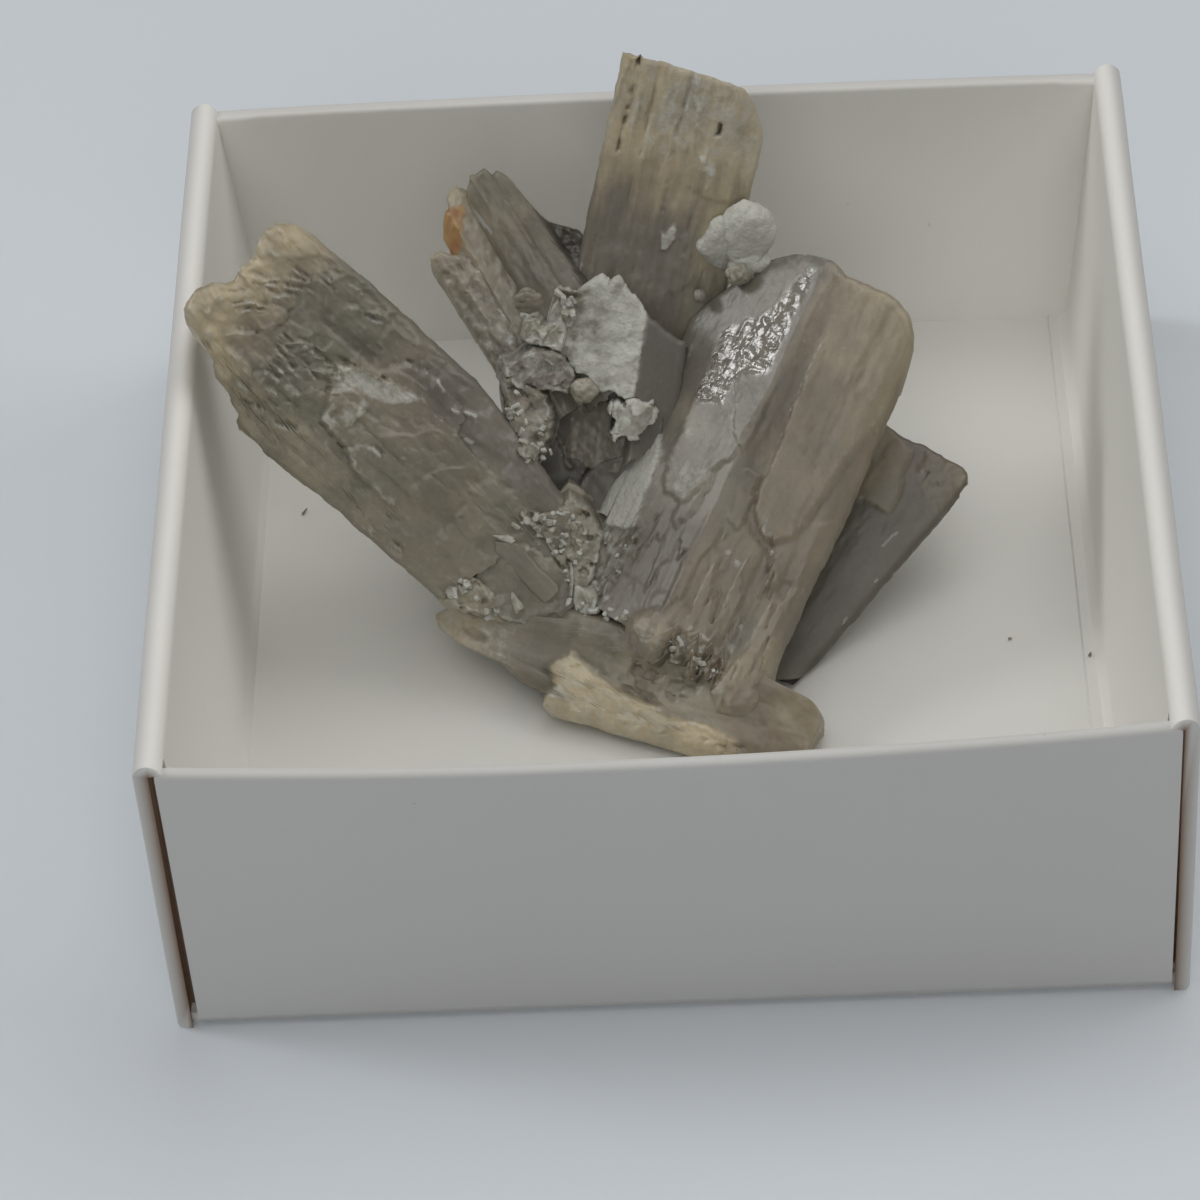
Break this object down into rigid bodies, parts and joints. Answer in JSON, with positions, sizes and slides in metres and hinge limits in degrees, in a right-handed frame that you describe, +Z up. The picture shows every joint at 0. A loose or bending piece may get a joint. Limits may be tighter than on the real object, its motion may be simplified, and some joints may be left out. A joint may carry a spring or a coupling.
{
  "type": "aragonite specimen",
  "caption": "Loose spray of intergrown, bladed aragonite crystals resting in its small open folded card tray.",
  "frame": {"origin": "centre of the tray's underside, which is the middle of the whole object's box at its base", "axes": "+Z up out of the open tray, -Y towards the low front wall that faces the viewer, +X to the viewer's right"},
  "size_m": [0.0408, 0.0407, 0.0215],
  "materials": {
    "crystal": "satin, partly translucent",
    "card": "matte, uncoated white"
  },
  "bodies": {
    "root": {"aragonite": "crystal", "card_tray": "card"}
  },
  "joints": []
}
